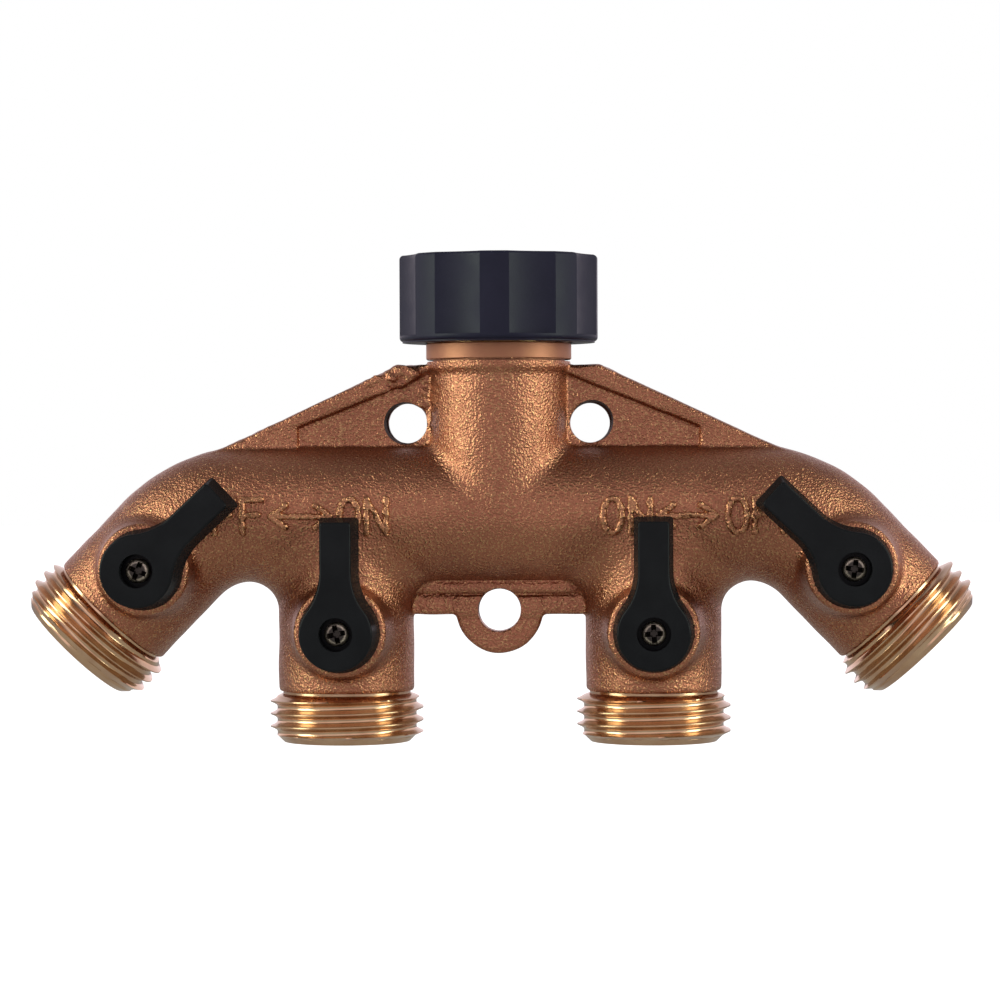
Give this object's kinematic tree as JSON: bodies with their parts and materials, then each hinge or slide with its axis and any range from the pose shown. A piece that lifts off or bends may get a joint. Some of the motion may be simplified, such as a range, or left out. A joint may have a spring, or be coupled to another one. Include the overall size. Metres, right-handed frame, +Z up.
{
  "type": "hose splitter",
  "caption": "Cast brass garden hose manifold with a swivel inlet, lever ball valves and threaded outlets fanned out below.",
  "frame": {"origin": "centre of the inlet's mouth, at the top of the swivel nut", "axes": "+Z up and out of the inlet, +X to the right as seen from the front, and the levers on the -Y side"},
  "size_m": [0.1654, 0.0407, 0.0852],
  "materials": {
    "cast_brass": "sand-cast and shot-blasted bronze-brown brass",
    "turned_brass": "machined, bright",
    "grip_plastic": "moulded, fine grain",
    "lever_plastic": "moulded, satin",
    "screw_steel": "plated steel, dull",
    "rubber": "moulded rubber",
    "ptfe": "smooth white PTFE",
    "ball_chrome": "polished chromium plate"
  },
  "bodies": {
    "manifold": {"manifold_body": "cast_brass", "inlet_tailpiece": "turned_brass", "inlet_tailpiece_seal": "rubber", "inlet_washer": "rubber", "outlet_1_nipple": "turned_brass", "outlet_1_nipple_seal": "rubber", "outlet_1_inlet_seat": "ptfe", "outlet_1_outlet_seat": "ptfe", "outlet_2_nipple": "turned_brass", "outlet_2_nipple_seal": "rubber", "outlet_2_inlet_seat": "ptfe", "outlet_2_outlet_seat": "ptfe", "outlet_3_nipple": "turned_brass", "outlet_3_nipple_seal": "rubber", "outlet_3_inlet_seat": "ptfe", "outlet_3_outlet_seat": "ptfe", "outlet_4_nipple": "turned_brass", "outlet_4_nipple_seal": "rubber", "outlet_4_inlet_seat": "ptfe", "outlet_4_outlet_seat": "ptfe"},
    "swivel": {"swivel_nut": "turned_brass", "swivel_grip": "grip_plastic"},
    "valve_1": {"outlet_1_ball": "ball_chrome", "valve_1_stem": "turned_brass", "valve_1_stem_seals": "rubber", "valve_1_thrust_washer": "ptfe", "valve_1_lever": "lever_plastic", "valve_1_lever_screw": "screw_steel"},
    "valve_2": {"outlet_2_ball": "ball_chrome", "valve_2_stem": "turned_brass", "valve_2_stem_seals": "rubber", "valve_2_thrust_washer": "ptfe", "valve_2_lever": "lever_plastic", "valve_2_lever_screw": "screw_steel"},
    "valve_3": {"outlet_3_ball": "ball_chrome", "valve_3_stem": "turned_brass", "valve_3_stem_seals": "rubber", "valve_3_thrust_washer": "ptfe", "valve_3_lever": "lever_plastic", "valve_3_lever_screw": "screw_steel"},
    "valve_4": {"outlet_4_ball": "ball_chrome", "valve_4_stem": "turned_brass", "valve_4_stem_seals": "rubber", "valve_4_thrust_washer": "ptfe", "valve_4_lever": "lever_plastic", "valve_4_lever_screw": "screw_steel"}
  },
  "joints": [
    {"name": "swivel_turn", "type": "hinge", "parent": "manifold", "child": "swivel", "pos_m": [0, 0, -0.00755], "axis": [0, 0, 1], "continuous": true},
    {"name": "valve_1_turn", "type": "hinge", "parent": "manifold", "child": "valve_1", "pos_m": [-0.06094, -0.0153, -0.05451], "axis": [0, -1, 0], "range_deg": [0, 90]},
    {"name": "valve_2_turn", "type": "hinge", "parent": "manifold", "child": "valve_2", "pos_m": [-0.027, -0.0153, -0.0654], "axis": [0, -1, 0], "range_deg": [0, 90]},
    {"name": "valve_3_turn", "type": "hinge", "parent": "manifold", "child": "valve_3", "pos_m": [0.027, -0.0153, -0.0654], "axis": [0, 1, 0], "range_deg": [0, 90]},
    {"name": "valve_4_turn", "type": "hinge", "parent": "manifold", "child": "valve_4", "pos_m": [0.06094, -0.0153, -0.05451], "axis": [0, 1, 0], "range_deg": [0, 90]}
  ]
}
